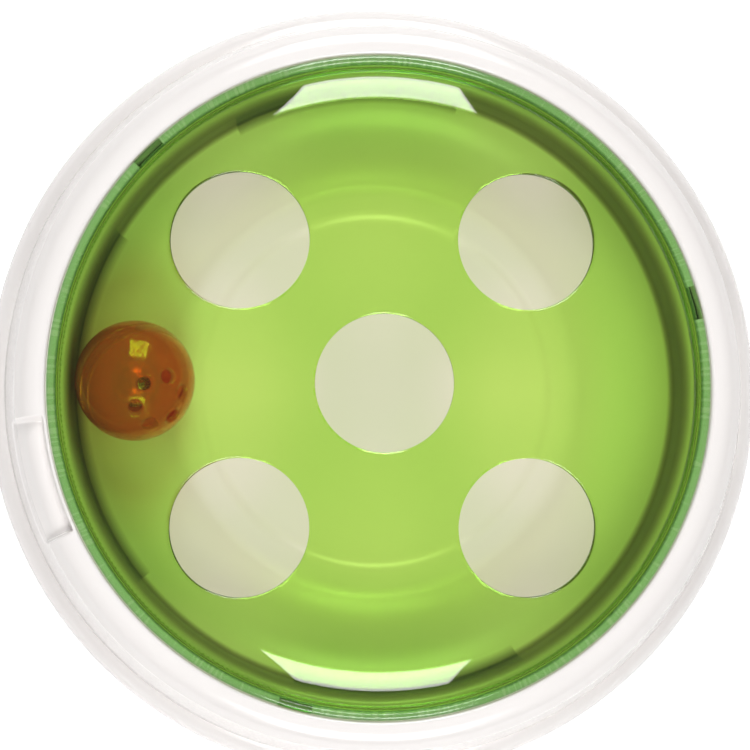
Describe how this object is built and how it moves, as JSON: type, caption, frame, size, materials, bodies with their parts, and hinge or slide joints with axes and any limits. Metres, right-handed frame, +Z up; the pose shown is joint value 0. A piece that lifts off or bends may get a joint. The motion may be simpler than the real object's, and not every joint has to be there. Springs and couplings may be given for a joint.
{
  "type": "ball track puzzle",
  "caption": "Round white ball-track puzzle: a clear green dome with finger holes over a grooved tray, and a captive jingling ball pushed round it by fingertip.",
  "frame": {"origin": "centre of the round housing, on the ground under the foot pads", "axes": "+Z up through the dome; +X to the right and +Y away when seen with the ball at the left"},
  "size_m": [0.262, 0.262, 0.0564],
  "materials": {
    "white_plastic": "polished moulding",
    "cream_plastic": "semi-gloss moulding",
    "green_clear": "clear tinted, polished",
    "orange_clear": "clear tinted, polished",
    "bell_metal": "plated sheet",
    "screw_steel": "zinc plated",
    "pad_rubber": "matte"
  },
  "bodies": {
    "base": {"base_shell": "white_plastic", "floor_tray": "cream_plastic", "tray_screws": "screw_steel", "foot_pad_1": "pad_rubber", "foot_pad_2": "pad_rubber", "foot_pad_3": "pad_rubber", "foot_pad_4": "pad_rubber", "foot_pad_5": "pad_rubber", "foot_pad_6": "pad_rubber"},
    "bezel": {"bezel_ring": "white_plastic"},
    "cover": {"dome": "green_clear"},
    "bell": {"bell_cup_upper": "bell_metal", "bell_cup_lower": "bell_metal", "bell_loop": "bell_metal"},
    "ball": {"ball_half_a": "orange_clear", "ball_half_b": "orange_clear"},
    "pellet": {"bell_pellet": "screw_steel"}
  },
  "joints": [
    {"name": "bezel_lift", "type": "slide", "parent": "base", "child": "bezel", "axis": [0, 0, 1], "range_m": [0, 0.06]},
    {"name": "dome_turn", "type": "hinge", "parent": "bezel", "child": "cover", "pos_m": [0, 0, 0.036], "axis": [0, 0, 1], "range_deg": [0, 16]},
    {"name": "ball_orbit", "type": "hinge", "parent": "base", "child": "bell", "pos_m": [0, 0, 0.0252], "axis": [0, 0, 1], "continuous": true},
    {"name": "ball_roll", "type": "hinge", "parent": "bell", "child": "ball", "pos_m": [-0.08097, 0.00212, 0.0252], "axis": [-0.9997, 0.0262, 0], "continuous": true},
    {"name": "pellet_rattle", "type": "slide", "parent": "bell", "child": "pellet", "axis": [0, 0, 1], "range_m": [0, 0.006]}
  ],
  "couplings": [
    {"joint": "ball_roll", "follows": "ball_orbit", "ratio": -4.05}
  ]
}
